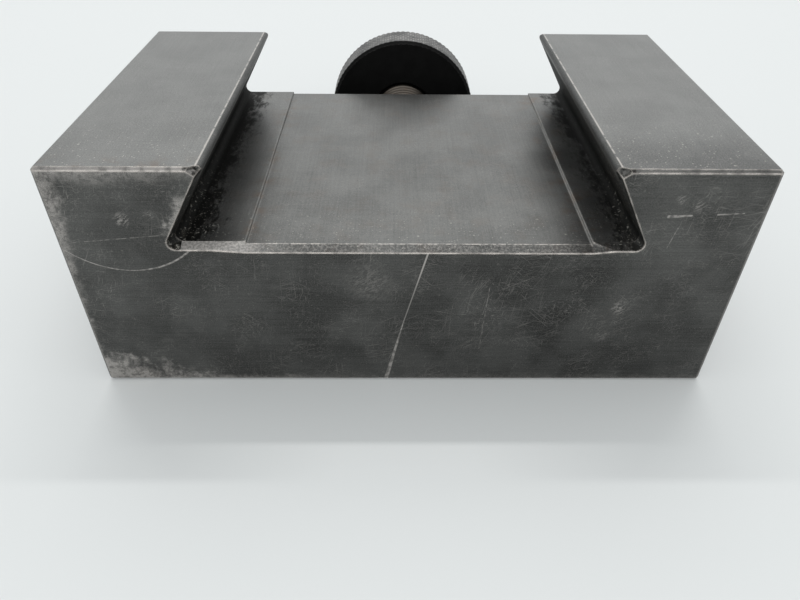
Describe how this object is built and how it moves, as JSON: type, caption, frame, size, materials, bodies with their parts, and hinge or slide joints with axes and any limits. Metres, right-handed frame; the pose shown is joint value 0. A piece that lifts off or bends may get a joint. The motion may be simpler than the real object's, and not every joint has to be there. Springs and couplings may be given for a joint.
{
  "type": "dovetail tool holder",
  "caption": "Lathe tool holder block with a dovetail slot for a quick change tool post, a height stud with a round nut and a lock nut, and set screws over an open tool slot.",
  "frame": {"origin": "middle of the dovetail slot's mouth: in the plane of the two jaw faces, halfway between the jaws and halfway along the slot", "axes": "+X across the dovetail, +Y along the dovetail towards the end with the height nut, which is up in use, +Z out of the dovetail towards the tool post"},
  "size_m": [0.0886, 0.0836, 0.0349],
  "materials": {
    "block_black_oxide": "worn black oxide, satin, bare at the edges",
    "stud_steel": "oiled bare steel thread",
    "nut_black_oxide": "black oxide, worn on the knurl's crests",
    "screw_black_oxide": "black oxide"
  },
  "bodies": {
    "holder": {"holder_body": "block_black_oxide", "height_stud": "stud_steel"},
    "height_nut": {"height_nut": "nut_black_oxide"},
    "lock_nut": {"lock_nut": "nut_black_oxide"},
    "clamp_screw_1": {"clamp_screw_1": "screw_black_oxide"},
    "clamp_screw_2": {"clamp_screw_2": "screw_black_oxide"},
    "clamp_screw_3": {"clamp_screw_3": "screw_black_oxide"},
    "clamp_screw_4": {"clamp_screw_4": "screw_black_oxide"}
  },
  "joints": [
    {"name": "height_nut_travel", "type": "slide", "parent": "holder", "child": "height_nut", "axis": [0, 1, 0], "range_m": [-0.0069, 0.0062]},
    {"name": "lock_nut_travel", "type": "slide", "parent": "height_nut", "child": "lock_nut", "axis": [0, 1, 0], "range_m": [0, 0.004]},
    {"name": "clamp_screw_1_travel", "type": "slide", "parent": "holder", "child": "clamp_screw_1", "axis": [0, 1, 0], "range_m": [-0.0165, 0.006]},
    {"name": "clamp_screw_2_travel", "type": "slide", "parent": "holder", "child": "clamp_screw_2", "axis": [0, 1, 0], "range_m": [-0.0165, 0.006]},
    {"name": "clamp_screw_3_travel", "type": "slide", "parent": "holder", "child": "clamp_screw_3", "axis": [0, 1, 0], "range_m": [-0.0165, 0.006]},
    {"name": "clamp_screw_4_travel", "type": "slide", "parent": "holder", "child": "clamp_screw_4", "axis": [0, 1, 0], "range_m": [-0.0165, 0.006]}
  ]
}
